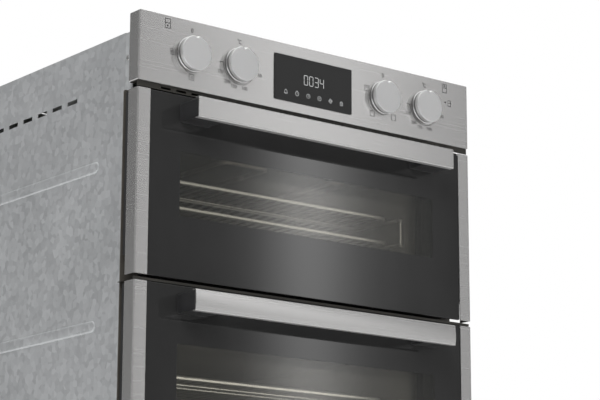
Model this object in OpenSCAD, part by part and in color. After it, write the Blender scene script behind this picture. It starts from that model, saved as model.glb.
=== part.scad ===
// Built-in double wall oven: a small grill oven over a larger fan oven.
// It stands on its base at z = 0, faces -Y and is centred on the origin in X and Y.
// Depths are written from the front plane, y = 0, and piece() centres the whole oven.

/* [Front] */
// Width of the control panel and the doors
front_w = 594; // [590:1:596]
// Height of the whole oven
total_h = 888; // [886:1:892]
// Height of the control panel
panel_h = 97; // [95:1:99]
// Gap between the control panel and the top door
panel_gap = 10; // [8:0.5:12]
// Height of the top door
top_door_h = 251; // [249:1:255]
// Gap between the two doors
door_gap = 8.5; // [7.5:0.5:9.5]
// Height of the main door's lower edge above the base
main_door_z0 = 45; // [45:1:48]

/* [Doors] */
// Thickness of a door
door_t = 35; // [34:0.5:36]
// Thickness of a glass pane
glass_t = 4; // [3:0.5:4.5]
// Width of the steel trim along each side of a door
trim_w = 20.5; // [18:0.5:23]
// How far the trims stand proud of the glass
trim_proud = 1.5; // [1:0.5:2]
// Height of the hinge axis above a door's lower edge
hinge_up = 15; // [15:0.5:16]
// Depth of the hinge axis behind the front plane
hinge_in = 15; // [14.5:0.5:15]

/* [Handles] */
// Length of a handle bar
handle_w = 456; // [430:1:470]
// Height of a handle bar
handle_h = 29.1; // [26:0.1:31]
// Distance from the front plane to the face of a handle bar
handle_out = 43; // [38:1:43]
// Distance from a door's upper edge to the top of its handle
handle_drop = 10.2; // [9:0.1:14]

/* [Controls] */
// Distance from the middle of the panel to an inner knob
knob_x_in = 130; // [126:1:134]
// Distance from the middle of the panel to an outer knob
knob_x_out = 210.5; // [206:0.5:214]
// Height of the knobs above the panel's lower edge
knob_up = 49.4; // [47:0.2:51]
// Diameter of a knob's cap
knob_d = 48.4; // [46:0.4:50]
// Distance from the panel to the face of a knob
knob_out = 13.2; // [12:0.4:16]
// Width of the display glass
display_w = 139.6; // [130:0.2:144]
// Height of the display glass
display_h = 66.7; // [62:0.1:70]
// Height of the display glass above the panel's lower edge
display_up = 13.5; // [12:0.5:15]

/* [Ovens] */
// Inner width of both ovens
cavity_w = 444; // [440:2:446]
// Inner height of the top oven
top_cavity_h = 178; // [176:1:180]
// Inner height of the main oven
main_cavity_h = 368; // [364:1:370]
// Inner depth of both ovens
cavity_d = 413; // [408:1:415]
// Diameter of the wires that the shelves' frames are bent from
shelf_wire = 6; // [5:0.5:6.5]
// Distance between the rods of a shelf
rod_pitch = 17; // [15:0.5:20]

/* [Housing] */
// Width of the housing behind the front frame
body_w = 556; // [554:1:558]
// Depth of the housing behind the front frame
body_d = 508.5; // [506:0.5:512]
// Thickness of the housing's sheet
sheet = 1; // [0.8:0.1:1.2]
// Diameter of the mains lead that the cable gland takes
lead_d = 10; // [8:0.5:11]

/* [Hidden] */
$fn = 48;

steel = "#b4b4b1";
zinc = "#bfc3c4";
black = "#1d1d1e";
enamel = "#3a3b3e";
wire_metal = "#c4c4c0";
element_metal = "#6a6662";
wool = "#d8cfa8";
plastic = "#e3e1da";

// Running clearance of a shaft in its bore, on the radius
running = 0.05;
// Gap kept between parts that move past each other
free_gap = 0.3;

// Heights, from the top down
panel_z0 = total_h - panel_h;
top_door_z1 = panel_z0 - panel_gap;
top_door_z0 = top_door_z1 - top_door_h;
main_door_z1 = top_door_z0 - door_gap;
top_hinge_z = top_door_z0 + hinge_up;
main_hinge_z = main_door_z0 + hinge_up;
top_cavity_z1 = top_door_z1 - 23;
top_cavity_z0 = top_cavity_z1 - top_cavity_h;
main_cavity_z1 = main_door_z1 - 41.5;
main_cavity_z0 = main_cavity_z1 - main_cavity_h;
main_cavity_mid = (main_cavity_z0 + main_cavity_z1) / 2;
knob_z = panel_z0 + knob_up;
housing_z1 = total_h - 15;
trim_z1 = main_door_z0 - 10;

// Depths, from the front plane
seal_gap = 5;
frame_t = 1.5;
frame_y0 = door_t + seal_gap;
frame_y1 = frame_y0 + frame_t;
cavity_y0 = frame_y1;
cavity_y1 = cavity_y0 + cavity_d;
wool_t = 22;
wool_y1 = cavity_y1 + sheet + wool_t;
body_y1 = frame_y1 + body_d;
gland_out = 14;
centre_y = (body_y1 + gland_out - handle_out) / 2;

// Half widths
hw = front_w / 2;
hb = body_w / 2;
hc = cavity_w / 2;
frame_hw = hw - 5;
panel_deep = 22;
panel_t = 1.2;

// Fixing screws of the front frame
screw_x = hb + 7;
screw_low_z = main_door_z0 + 75;
screw_high_z = top_door_z0 + 150;
screw_hole_r = 2.25;

// Doors
glass_y0 = trim_proud;
glass_y1 = glass_y0 + glass_t;
inner_y0 = door_t - glass_t;
hinge_x = 260;
hinge_pin_r = 4;
bracket_t = 4;
post_w = 48;

// Shafts of the controls
shaft_r = 3;
bush_r = 5;
bush_y0 = 14;
bracket_y = 24;
shaft_y1 = 36;
knob_gap = 1.2;

// Shelves and side racks: the runners stand off the posts, so a shelf's side rail passes the posts
rack_wire = 5;
post_x = hc - rack_wire / 2 - 1;
runner_x = hc - 11;
top_shelf_y0 = 86;
top_shelf_y1 = cavity_y1 - 14;
main_shelf_y0 = 100;
main_shelf_y1 = cavity_y1 - 52;
top_upper_z = top_cavity_z0 + 106;
top_lower_z = top_cavity_z0 + 69;
main_shelf_z = main_cavity_z0 + 305;
pan_z = main_cavity_z0 + 120;

// Convection fan and cooling blower
fan_r = 72;
fan_y0 = cavity_y1 - 31;
fan_y1 = cavity_y1 - 10;
blower_y = 430;
blower_z = housing_z1 - 46;
blower_r = 28;
blower_hw = 95;

// Every piece is drawn from the front plane; this places it in the centred frame.
module piece(c) {
    color(c) translate([0, -centre_y, 0]) children();
}

module block(lo, hi) {
    translate(lo) cube(hi - lo);
}

module both_sides() {
    for (s = [0, 1]) mirror([s, 0, 0]) children();
}

// A cylinder that starts at p and runs a length along one axis
module rod_x(p, len, r) {
    translate(p) rotate([0, 90, 0]) cylinder(r = r, h = len);
}

module rod_y(p, len, r) {
    translate(p) rotate([-90, 0, 0]) cylinder(r = r, h = len);
}

module rod_z(p, len, r) {
    translate(p) cylinder(r = r, h = len);
}

module round_rect(w, h, r) {
    square([w - 2 * r, h], center = true);
    square([w, h - 2 * r], center = true);
    for (x = [-1, 1], y = [-1, 1])
        translate([x * (w / 2 - r), y * (h / 2 - r)]) circle(r);
}

// A round-cornered plate that faces the front, from depth y0 back to y1
module face_plate(hw, z0, z1, r, y0, y1) {
    translate([0, y1, (z0 + z1) / 2]) rotate([90, 0, 0])
        linear_extrude(y1 - y0) round_rect(2 * hw, z1 - z0, r);
}

// A quarter bend of tube, centred on p, from start degrees to 90 more, in the level plane
module bend(p, bend_r, r, start) {
    translate(p) rotate([0, 0, start]) rotate_extrude(angle = 90)
        translate([bend_r, 0]) circle(r);
}

// ---- Housing ----

module base_panel() {
    vent_w = 30;
    piece(zinc) difference() {
        union() {
            block([-hb, frame_y1, 0], [hb, body_y1, 1.5]);
            both_sides() block([hb - 20, frame_y1, 1.5], [hb - sheet, body_y1 - sheet, 4]);
        }
        for (i = [-3:3], y = [150, 300, 450])
            translate([i * 60, y, 0]) cube([vent_w, 6, 8], center = true);
    }
}

module side_panel(side) {
    low = 1.5;
    mirror([side, 0, 0]) difference() {
        union() {
            block([hb - sheet, frame_y1, low], [hb, body_y1 - sheet, housing_z1 - sheet]);
            for (z = [220, 470, 690])
                block([hb - 3, 120, z], [hb - sheet, 460, z + 14]);
        }
        for (i = [0:5])
            block([hb - 4, 180 + i * 40, 800], [hb + 1, 205 + i * 40, 806]);
    }
}

module side_panel_left() {
    piece(zinc) side_panel(1);
}

module side_panel_right() {
    piece(zinc) side_panel(0);
}

// Upright vent slots in the back panel, half_h above and below z
module louvres(z, half_h) {
    for (i = [-4:4])
        block([i * 16 - 4, body_y1 - 2, z - half_h], [i * 16 + 4, body_y1 + 1, z + half_h]);
}

module back_panel() {
    gland_r = lead_d / 2 + 3.05;
    piece(zinc) difference() {
        union() {
            block([-hb, body_y1 - sheet, 1.5], [hb, body_y1, housing_z1 - sheet]);
            both_sides() block([120, body_y1 - 3, 150], [134, body_y1 - sheet, 700]);
        }
        rod_y([200, body_y1 - 5, 825], 10, gland_r);
        louvres(blower_z, 25);
        louvres(main_cavity_mid, 40);
    }
}

module top_cover() {
    piece(zinc) difference() {
        union() {
            block([-hb, 60, housing_z1 - sheet], [hb, body_y1, housing_z1]);
            for (y = [110, 330])
                block([-220, y, housing_z1], [220, y + 12, housing_z1 + 2]);
        }
        for (i = [-5:5])
            block([i * 36 - 12, 480, housing_z1 - 3], [i * 36 + 12, 486, housing_z1 + 3]);
    }
}

module front_frame() {
    piece(black) difference() {
        face_plate(frame_hw, trim_z1, panel_z0 - 5, 3, frame_y0, frame_y1);
        face_plate(hc, top_cavity_z0, top_cavity_z1, 10, frame_y0 - 1, frame_y1 + 1);
        face_plate(hc, main_cavity_z0, main_cavity_z1, 10, frame_y0 - 1, frame_y1 + 1);
        both_sides() for (z = [screw_low_z, screw_high_z])
            rod_y([screw_x, frame_y0 - 1, z], 4, screw_hole_r);
        both_sides() for (z = [top_hinge_z, main_hinge_z])
            block([hinge_x - 3, frame_y0 - 1, z - 10], [hinge_x + 3, frame_y1 + 1, z + 10]);
        // Cooling air leaves between the panel and the top door
        for (i = [-8:8])
            block([i * 25 - 9, frame_y0 - 1, top_door_z1 - 6], [i * 25 + 9, frame_y1 + 1, top_door_z1 - 2]);
    }
}

module bottom_trim() {
    front = 4;
    piece(steel) difference() {
        block([-hw, front, 0.5], [hw, frame_y0, trim_z1]);
        block([-hw + 1.2, front + 1.2, -1], [hw - 1.2, frame_y0 + 1, trim_z1 - 1.2]);
        for (i = [-9:9])
            block([i * 27 - 9, front - 1, 12], [i * 27 + 9, front + 2, 16]);
    }
}

// Screws that hold the front frame to the housing, beside the two ovens
module frame_screws() {
    piece(steel) both_sides() for (z = [200, 380, 640]) {
        rod_y([hb - 14, frame_y0 - 2, z], 2, 3.5);
        rod_y([hb - 14, frame_y1, z], 8, 1.8);
    }
}

// Painted strips in the gap over each door, clear of the doors' swing; the upper one lets cooling air out
module gap_strips() {
    t = 1.2;
    y0 = 3;
    end_x = hw - 1;
    upper_z = top_door_z1 + 2;
    lower_z = main_door_z1 + 1.2;
    lower_t = 0.6;
    piece(black) {
        difference() {
            union() {
                block([-end_x, y0, upper_z], [end_x, y0 + t, panel_z0]);
                block([-end_x, y0, panel_z0 - t], [end_x, panel_deep - 2, panel_z0]);
            }
            for (i = [-10:10])
                block([i * 25 - 8, y0 - 1, upper_z + 2], [i * 25 + 8, y0 + t + 1, upper_z + 5]);
        }
        block([-end_x, y0, lower_z], [end_x, frame_y0, lower_z + lower_t]);
        block([-end_x, y0, lower_z], [end_x, y0 + t, lower_z + 3.5]);
    }
}

// ---- Control panel ----

module control_panel() {
    edge = 2;
    piece(steel) difference() {
        intersection() {
            translate([0, 0, panel_z0]) linear_extrude(panel_h) {
                translate([-hw + edge, 0]) square([front_w - 2 * edge, panel_deep]);
                translate([-hw, edge]) square([front_w, panel_deep - edge]);
                for (x = [-1, 1]) translate([x * (hw - edge), edge]) circle(edge);
            }
            face_plate(hw, panel_z0, total_h, edge, -1, panel_deep + 1);
        }
        block([-hw + panel_t, panel_t, panel_z0 + panel_t],
              [hw - panel_t, panel_deep + 1, total_h - panel_t]);
        for (x = [-knob_x_out, -knob_x_in, knob_x_in, knob_x_out])
            rod_y([x, -1, knob_z], 4, 6);
        block([-display_w / 2 + 5, -1, panel_z0 + display_up + 5],
              [display_w / 2 - 5, 3, panel_z0 + display_up + display_h - 5]);
    }
}

module display_glass() {
    z0 = panel_z0 + display_up;
    piece(black) {
        face_plate(display_w / 2, z0, z0 + display_h, 1.5, -1.8, 0);
        face_plate(display_w / 2 - 5.5, z0 + 5.5, z0 + display_h - 5.5, 1, 0, 3);
    }
}

module timer_module() {
    z0 = panel_z0 + display_up;
    piece(plastic) difference() {
        block([-66, 3, z0 + 3], [66, bracket_y, z0 + display_h - 3]);
        for (x = [-50:20:50]) block([x - 3, 12, z0 + 1], [x + 3, 20, z0 + 6]);
    }
}

// The steel carrier behind the panel, hung from the housing's top cover
module control_bracket() {
    top = housing_z1 - sheet;
    piece(zinc) difference() {
        union() {
            block([-hb + 2, bracket_y, panel_z0 + 10], [hb - 2, bracket_y + 1.2, top]);
            block([-hb + 2, bracket_y, top - 1.2], [hb - 2, 90, top]);
            both_sides() block([hw - panel_t - 1.2, panel_t + 8, panel_z0 + 20],
                               [hw - panel_t, bracket_y + 1.2, top - 20]);
            both_sides() block([hb - 3, bracket_y, panel_z0 + 20], [hw - panel_t, bracket_y + 1.2, top - 20]);
        }
        for (x = [-knob_x_out, -knob_x_in, knob_x_in, knob_x_out])
            rod_y([x, bracket_y - 1, knob_z], 4, bush_r + 0.2);
    }
}

// The bush and bore that carry a knob's shaft
module control_body(x, w, h, depth) {
    difference() {
        union() {
            block([x - w / 2, bracket_y + 1.2, knob_z - h / 2],
                  [x + w / 2, bracket_y + 1.2 + depth, knob_z + h / 2]);
            rod_y([x, bush_y0, knob_z], bracket_y + 1.2 - bush_y0, bush_r);
            for (dz = [-h / 4, 0, h / 4], dx = [-w / 4, w / 4])
                block([x + dx - 3, bracket_y + 1.2 + depth, knob_z + dz - 0.4],
                      [x + dx + 3, bracket_y + 9.2 + depth, knob_z + dz + 0.4]);
        }
        rod_y([x, bush_y0 - 1, knob_z], shaft_y1 + 2 - bush_y0, shaft_r + running);
    }
}

module function_switches() {
    piece("#d9d6cc") for (x = [-knob_x_out, knob_x_in]) control_body(x, 42, 42, 34);
}

module thermostats() {
    piece("#c9bda6") for (x = [-knob_x_in, knob_x_out]) {
        control_body(x, 38, 34, 26);
        // Start of the capillary tube
        rod_y([x + 12, bracket_y + 20, knob_z + 12], 24, 1.2);
    }
}

// A knob: cap, waist and collar on its shaft, with a scalloped mark in the cap's upper edge
module knob(x) {
    r = knob_d / 2;
    collar_r = r + 0.8;
    piece(steel) translate([x, 0, knob_z]) {
        difference() {
            rotate([90, 0, 0]) rotate_extrude($fn = 96) polygon([
                [0, knob_gap], [collar_r - 0.8, knob_gap], [collar_r, knob_gap + 0.8],
                [collar_r, 3.2], [collar_r - 0.8, 4], [r - 2.5, 4.4], [r - 2.5, 6],
                [r, 7], [r, knob_out - 1.2], [r - 1.2, knob_out], [0, knob_out]
            ]);
            translate([0, -knob_out - 3.2, r + 1.2]) sphere(5.2);
        }
        rod_y([0, -knob_gap - 1, 0], shaft_y1 + knob_gap + 1, shaft_r);
    }
}

module knob_top_function() {
    knob(-knob_x_out);
}

module knob_top_temperature() {
    knob(-knob_x_in);
}

module knob_main_function() {
    knob(knob_x_in);
}

module knob_main_temperature() {
    knob(knob_x_out);
}

// ---- Cooling air ----

module air_duct() {
    floor_z = top_cavity_z1 + sheet + wool_t + 2;
    piece(zinc) difference() {
        block([-120, frame_y1 + 3, floor_z], [120, blower_y - 40, floor_z + 22]);
        block([-120 + sheet, frame_y1, floor_z + sheet], [120 - sheet, blower_y - 30, floor_z + 22 - sheet]);
    }
}

// Scroll of the cooling blower with its motor at the right-hand end
module blower_housing() {
    end_x = blower_hw + 4;
    room = 6;
    piece(zinc) difference() {
        union() {
            both_sides() block([end_x, blower_y - 38, blower_z - 45],
                               [end_x + 1.5, blower_y + 38, blower_z + 38]);
            block([-end_x, blower_y + 36.5, blower_z - 45], [end_x, blower_y + 38, blower_z + 38]);
            block([-end_x, blower_y - 38, blower_z + 36.5], [end_x, blower_y + 38, blower_z + 38]);
            rod_x([end_x + 1.5, blower_y, blower_z], 34, 26);
            rod_x([-end_x - 9.5, blower_y, blower_z], 8, 9);
        }
        rod_x([end_x - 1, blower_y, blower_z], 20, shaft_r + running);
        rod_x([-end_x - room, blower_y, blower_z], 12, shaft_r + running);
    }
}

module blower_wheel() {
    blades = 18;
    piece("#9aa0a4") {
        both_sides() rod_x([blower_hw - 1.5, blower_y, blower_z], 1.5, blower_r);
        rod_x([-1, blower_y, blower_z], 2, blower_r);
        for (i = [0:blades - 1])
            translate([0, blower_y, blower_z]) rotate([i * 360 / blades, 0, 0])
                translate([0, 0, blower_r - 3.6]) rotate([35, 0, 0])
                    cube([2 * blower_hw, 0.8, 6], center = true);
        rod_x([-blower_hw - 9, blower_y, blower_z], 2 * blower_hw + 30, shaft_r);
    }
}

// ---- Ovens ----

// An open-fronted enamelled box with rounded corners
module oven_box(z0, z1) {
    difference() {
        block([-hc - sheet, cavity_y0, z0 - sheet], [hc + sheet, cavity_y1 + sheet, z1 + sheet]);
        face_plate(hc, z0, z1, 10, cavity_y0 - 1, cavity_y1);
    }
}

module top_cavity() {
    piece(enamel) difference() {
        oven_box(top_cavity_z0, top_cavity_z1);
        rod_y([150, cavity_y1 - 1, top_cavity_z1 - 40], 4, 20);
        both_sides() rod_y([190, cavity_y1 - 1, top_cavity_z1 - 9], 4, 4);
    }
}

module main_cavity() {
    piece(enamel) difference() {
        oven_box(main_cavity_z0, main_cavity_z1);
        rod_y([-170, cavity_y1 - 1, main_cavity_z1 - 36], 4, 20);
        rod_y([0, cavity_y1 - 1, main_cavity_mid], 4, 6);
        both_sides() rod_y([20, cavity_y1 - 1, main_cavity_mid + 85], 4, 4);
    }
}

// Mineral wool round an oven box, open at the front; below is the room under the floor
module wool_jacket(z0, z1, below) {
    side = hc + sheet;
    difference() {
        block([-side - wool_t, cavity_y0 + 4, z0 - sheet - wool_t],
              [side + wool_t, wool_y1, z1 + sheet + wool_t]);
        block([-side, cavity_y0 - 1, z0 - sheet - below], [side, cavity_y1 + sheet, z1 + sheet]);
    }
}

module top_insulation() {
    piece(wool) difference() {
        wool_jacket(top_cavity_z0, top_cavity_z1, 10);
        rod_y([150, cavity_y1, top_cavity_z1 - 40], 40, 21);
        both_sides() rod_y([190, cavity_y1, top_cavity_z1 - 9], 40, 5);
    }
}

module main_insulation() {
    piece(wool) difference() {
        wool_jacket(main_cavity_z0, main_cavity_z1, 0);
        rod_y([-170, cavity_y1, main_cavity_z1 - 36], 40, 21);
        rod_y([0, cavity_y1, main_cavity_mid], 40, 13);
        both_sides() rod_y([20, cavity_y1, main_cavity_mid + 85], 40, 5);
    }
}

// Wire ladder on each side wall, with one runner under each shelf level
module side_racks(levels) {
    r = rack_wire / 2;
    y0 = 64;
    y1 = cavity_y1 - 30;
    drop = shelf_wire / 2 + free_gap + r;
    low = min(levels) - drop;
    high = max(levels) - drop;
    both_sides() {
        for (y = [y0, y1]) {
            rod_z([post_x, y, low - r], high - low + 2 * r, r);
            for (z = [low, high]) rod_x([post_x, y, z], hc - post_x, r - 0.4);
        }
        for (z = levels) {
            rod_y([runner_x, y0 - r, z - drop], y1 - y0 + 2 * r, r);
            for (y = [y0, y1]) rod_x([runner_x, y, z - drop], post_x - runner_x, r - 0.4);
        }
    }
}

module top_side_racks() {
    piece(wire_metal) side_racks([top_lower_z, top_upper_z]);
}

module main_side_racks() {
    piece(wire_metal) side_racks([pan_z - 60, pan_z, pan_z + 62, pan_z + 124, main_shelf_z]);
}

// A wire shelf: a bent frame that rests on the runners, rods from front to back
// and cross wires under them
module wire_shelf(z, y0, y1, cross) {
    r = shelf_wire / 2;
    hx = runner_x;
    corner = 14;
    rod_r = 1.5;
    cross_r = 1.8;
    both_sides() {
        rod_y([hx, y0 + corner, z], y1 - y0 - 2 * corner, r);
        bend([hx - corner, y0 + corner, z], corner, r, -90);
        bend([hx - corner, y1 - corner, z], corner, r, 0);
    }
    for (y = [y0, y1]) rod_x([-hx + corner, y, z], 2 * (hx - corner), r);
    count = floor((hx - 12) / rod_pitch);
    for (i = [-count:count])
        rod_y([i * rod_pitch, y0, z], y1 - y0, rod_r);
    for (y = cross) rod_x([-hx, y, z - 1.1], 2 * hx, cross_r);
}

module top_upper_shelf() {
    piece(wire_metal) wire_shelf(top_upper_z, top_shelf_y0, top_shelf_y1, [163, 173, 208, 224, 340]);
}

module top_lower_shelf() {
    piece(wire_metal) wire_shelf(top_lower_z, top_shelf_y0, top_shelf_y1, [163, 340]);
}

module main_shelf() {
    piece(wire_metal) wire_shelf(main_shelf_z, main_shelf_y0, main_shelf_y1, [150, 178, 320]);
}

// Enamelled pan whose rim rests on the runners
module grill_pan() {
    rim = runner_x + 3;
    side = runner_x - 10;
    y0 = main_shelf_y0;
    y1 = main_shelf_y1;
    deep = 34;
    t = 1.2;
    piece(enamel) {
        difference() {
            block([-rim, y0, pan_z - 3], [rim, y1, pan_z - 3 + t]);
            block([-side, y0 + 14, pan_z - 5], [side, y1 - 14, pan_z]);
        }
        difference() {
            block([-side - t, y0 + 14 - t, pan_z - deep], [side + t, y1 - 14 + t, pan_z - 3]);
            block([-side, y0 + 14, pan_z - deep + t], [side, y1 - 14, pan_z]);
        }
    }
}

// Tube bent to and fro under the top oven's roof
module grill_element() {
    r = 3.3;
    z = top_cavity_z1 - 9;
    front = 155;
    back = 385;
    u = 12.5;
    piece(element_metal) {
        both_sides() {
            rod_y([190, front + u, z], cavity_y1 + 15 - front - u, r);
            rod_y([165, front + u, z], back - front - 2 * u, r);
            bend([177.5, front + u, z], u, r, 180);
            bend([177.5, front + u, z], u, r, 270);
            bend([165 - u, back - u, z], u, r, 0);
            rod_x([40 + u, back, z], 125 - 2 * u, r);
            bend([40 + u, back - u, z], u, r, 90);
            rod_y([40, front + u, z], back - front - 2 * u, r);
            bend([40 - u, front + u, z], u, r, -90);
        }
        rod_x([-40 + u, front, z], 80 - 2 * u, r);
    }
}

// Hidden tube under the top oven's floor
module base_element() {
    r = 3.3;
    z = top_cavity_z0 - sheet - 5;
    u = 30;
    piece(element_metal) {
        both_sides() {
            rod_y([150, 110 + u, z], 320 - u, r);
            bend([150 - u, 110 + u, z], u, r, -90);
        }
        rod_x([-150 + u, 110, z], 300 - 2 * u, r);
    }
}

// Ring round the convection fan with its two tails through the back wall
module ring_element() {
    piece(element_metal) {
        translate([0, cavity_y1 - 20, main_cavity_mid]) rotate([90, 0, 0])
            rotate_extrude($fn = 96) translate([88, 0]) circle(3.2);
        both_sides() rod_y([20, cavity_y1 - 20, main_cavity_mid + 85], 40, 3);
    }
}

// Shallow tray over the fan, with a rosette of inlet holes
module fan_cover() {
    front = cavity_y1 - 42;
    t = 1.2;
    half = 110;
    piece(enamel) difference() {
        face_plate(half, main_cavity_mid - half, main_cavity_mid + half, 16, front, cavity_y1);
        face_plate(half - t, main_cavity_mid - half + t, main_cavity_mid + half - t, 15,
                   front + t, cavity_y1 + 1);
        for (ring = [1:4], i = [0:6 * ring - 1])
            translate([0, 0, main_cavity_mid]) rotate([0, i * 60 / ring, 0])
                rod_y([ring * 13, front - 1, 0], 4, 4);
        both_sides() for (z = [-80:20:80])
            block([half - 4, front + 12, main_cavity_mid + z - 5],
                  [half + 1, front + 32, main_cavity_mid + z + 5]);
    }
}

module convection_fan() {
    blades = 12;
    piece("#a8adb0") translate([0, 0, main_cavity_mid]) {
        rod_y([0, fan_y1 - 1.2, 0], 1.2, fan_r);
        rod_y([0, fan_y0, 0], fan_y1 - fan_y0, 9);
        for (i = [0:blades - 1]) rotate([0, i * 360 / blades, 0]) translate([52, (fan_y0 + fan_y1) / 2, 0])
            rotate([0, 30, 0]) cube([34, fan_y1 - fan_y0, 1.2], center = true);
        rod_y([0, fan_y0 - 4, 0], wool_y1 + 14 - fan_y0, shaft_r);
    }
}

module fan_motor() {
    piece("#8f9396") translate([0, 0, main_cavity_mid]) difference() {
        union() {
            rod_y([0, cavity_y1 + sheet + 2, 0], wool_t - 2, 10);
            rod_y([0, wool_y1, 0], 1.5, 45);
            rod_y([0, wool_y1 + 1.5, 0], 34, 32);
            block([-26, wool_y1 + 8, -40], [26, wool_y1 + 30, -28]);
        }
        rod_y([0, cavity_y1, 0], wool_y1 - cavity_y1 + 14, shaft_r + running);
    }
}

module lamp_place() {
    translate([150, cavity_y1, top_cavity_z1 - 40]) children();
    translate([-170, cavity_y1, main_cavity_z1 - 36]) children();
}

module lamp_holders() {
    piece(plastic) lamp_place() {
        rod_y([0, 0, 0], wool_t + sheet + 12, 19.5);
        rod_y([0, wool_t + sheet + 12, 0], 10, 12);
    }
}

module lamp_lenses() {
    piece("#d8e2e4") lamp_place() {
        rotate([90, 0, 0]) rotate_extrude() polygon([[0, 0], [24, 0], [24, 3], [18, 10], [8, 14], [0, 15]]);
    }
}

// ---- Seals, hinges and connection ----

module seal(z0, z1) {
    out = 11;
    inner = 3;
    y0 = door_t + free_gap;
    difference() {
        face_plate(hc + out, z0 - out, z1 + out, 18, y0, frame_y0);
        face_plate(hc + inner, z0 - inner, z1 + inner, 12, y0 - 1, frame_y0 + 1);
    }
}

module top_door_seal() {
    piece(black) seal(top_cavity_z0, top_cavity_z1);
}

module main_door_seal() {
    piece(black) seal(main_cavity_z0, main_cavity_z1);
}

// Fixed tongues with the bores that the doors' hinge pins turn in
module hinge_brackets() {
    boss_r = 8;
    piece(steel) both_sides() for (z = [top_hinge_z, main_hinge_z]) translate([hinge_x, 0, z]) difference() {
        union() {
            rod_x([-bracket_t / 2, hinge_in, 0], bracket_t, boss_r);
            block([-bracket_t / 2, hinge_in, -boss_r], [bracket_t / 2, 112, boss_r]);
        }
        rod_x([-5, hinge_in, 0], 10, hinge_pin_r + running);
    }
}

module hinge_receivers() {
    piece(zinc) both_sides() for (z = [top_hinge_z, main_hinge_z]) translate([hinge_x, 0, z]) difference() {
        block([-9, frame_y1, -13], [9, 118, 13]);
        block([-7.5, frame_y1 - 1, -11], [7.5, 116, 11]);
        both_sides() block([7, frame_y1 + 20, -5], [10, 100, 5]);
    }
}

module terminal_block() {
    piece("#2d2e30") difference() {
        block([170, body_y1 - 30, 768], [230, body_y1 - 3.2, 808]);
        for (i = [0:4]) rod_y([180 + i * 10, body_y1 - 31, 788], 12, 3);
    }
}

module cable_gland() {
    sleeve = lead_d / 2 + 3;
    piece(black) translate([200, 0, 825]) difference() {
        union() {
            rod_y([0, body_y1 - 8, 0], 10, sleeve);
            rod_y([0, body_y1, 0], 4, sleeve + 5);
            rod_y([0, body_y1 + 4, 0], gland_out - 4, sleeve + 3);
            for (i = [0:11]) rotate([0, i * 30, 0]) rod_y([sleeve + 2.6, body_y1 + 4, 0], gland_out - 6, 1);
        }
        rod_y([0, body_y1 - 9, 0], gland_out + 10, lead_d / 2);
    }
}

// ---- Doors ----

module door_glass(z0, z1) {
    face_plate(hw - trim_w, z0, z1, 1, glass_y0, glass_y1);
}

// Folded steel strips down both sides of a door
module door_trims(z0, z1) {
    t = 1.2;
    edge = 2;
    deep = 22;
    both_sides() translate([0, 0, z0]) linear_extrude(z1 - z0) difference() {
        union() {
            translate([hw - trim_w, 0]) square([trim_w - edge, deep]);
            translate([hw - trim_w, edge]) square([trim_w, deep - edge]);
            translate([hw - edge, edge]) circle(edge);
        }
        translate([hw - trim_w - 1, glass_y0]) square([trim_w + 1 - t, deep]);
    }
}

// The solid outline of a door's inner frame, drawn smaller by t on every side but the front
module door_frame_outline(z0, z1, t) {
    y0 = glass_y1;
    rail = z0 + 28;
    block([-hw + 2.5 + t, y0, rail + t], [hw - 2.5 - t, inner_y0 - t, z1 - 2 - t]);
    block([-250 + t, y0, z0 + 10 + t], [250 - t, inner_y0 - t, rail + 2 * t]);
    block([-250 + t, y0, z0 + 1 + t], [250 - t, 24 - t, z0 + 10 + 2 * t]);
}

// Folded inner frame of a door, open towards the glass, with a window
// and a slot at each lower corner for the fixed hinge tongue
module door_frame(z0, z1, open_z0, open_z1) {
    t = 1.2;
    hx = hc + 8;
    difference() {
        door_frame_outline(z0, z1, 0);
        difference() {
            door_frame_outline(z0, z1, t);
            block([-hx - t, 0, open_z0 - t], [hx + t, door_t, open_z1 + t]);
        }
        block([-hx, glass_y1 - 1, open_z0], [hx, door_t, open_z1]);
        both_sides() block([251, glass_y1 - 1, z0 + 20], [269, inner_y0 + 1, z0 + 62]);
    }
}

module inner_glass(z0, z1) {
    face_plate(246, z0, z1, 8, inner_y0, door_t);
}

module handle_bar(z1) {
    z0 = z1 - handle_h;
    t = 2;
    lip = 1.5;
    back = -handle_out + 8;
    hx = handle_w / 2;
    piece(steel) {
        block([-hx, -handle_out, z0], [hx, -handle_out + t, z1]);
        block([-hx, -handle_out, z1 - lip], [hx, back, z1]);
        block([-hx, -handle_out, z0], [hx, back, z0 + lip]);
    }
}

module handle_posts(z1) {
    z0 = z1 - handle_h;
    hx = handle_w / 2;
    lip = 1.5;
    piece(black) both_sides()
        block([hx - post_w, -handle_out + 2, z0 + lip], [hx - 0.5, glass_y0, z1 - lip]);
}

// Cheeks either side of the fixed tongue, with the pin through it
module hinge_arms(z) {
    cheek = 3;
    inner = bracket_t / 2 + 1;
    piece(steel) both_sides() translate([hinge_x, 0, z]) {
        both_sides() {
            rod_x([inner, hinge_in, 0], cheek, 7);
            block([inner, hinge_in - 7, 0], [inner + cheek, hinge_in + 7, 44]);
        }
        rod_x([-inner - cheek, hinge_in, 0], 2 * (inner + cheek), hinge_pin_r);
        block([-inner - cheek, hinge_in - 7, 36], [inner + cheek, hinge_in + 7, 44]);
    }
}

module top_door_glass() {
    piece(black) door_glass(top_door_z0, top_door_z1);
}

module top_door_trims() {
    piece(steel) door_trims(top_door_z0, top_door_z1);
}

module top_door_frame() {
    piece(black) door_frame(top_door_z0, top_door_z1, top_cavity_z0 + 26, top_cavity_z1 - 42);
}

module top_inner_glass() {
    piece("#5a5f62") inner_glass(top_cavity_z0 - 18, top_cavity_z1 + 17);
}

module top_handle_bar() {
    handle_bar(top_door_z1 - handle_drop);
}

module top_handle_posts() {
    handle_posts(top_door_z1 - handle_drop);
}

module top_hinge_arms() {
    hinge_arms(top_hinge_z);
}

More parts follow.
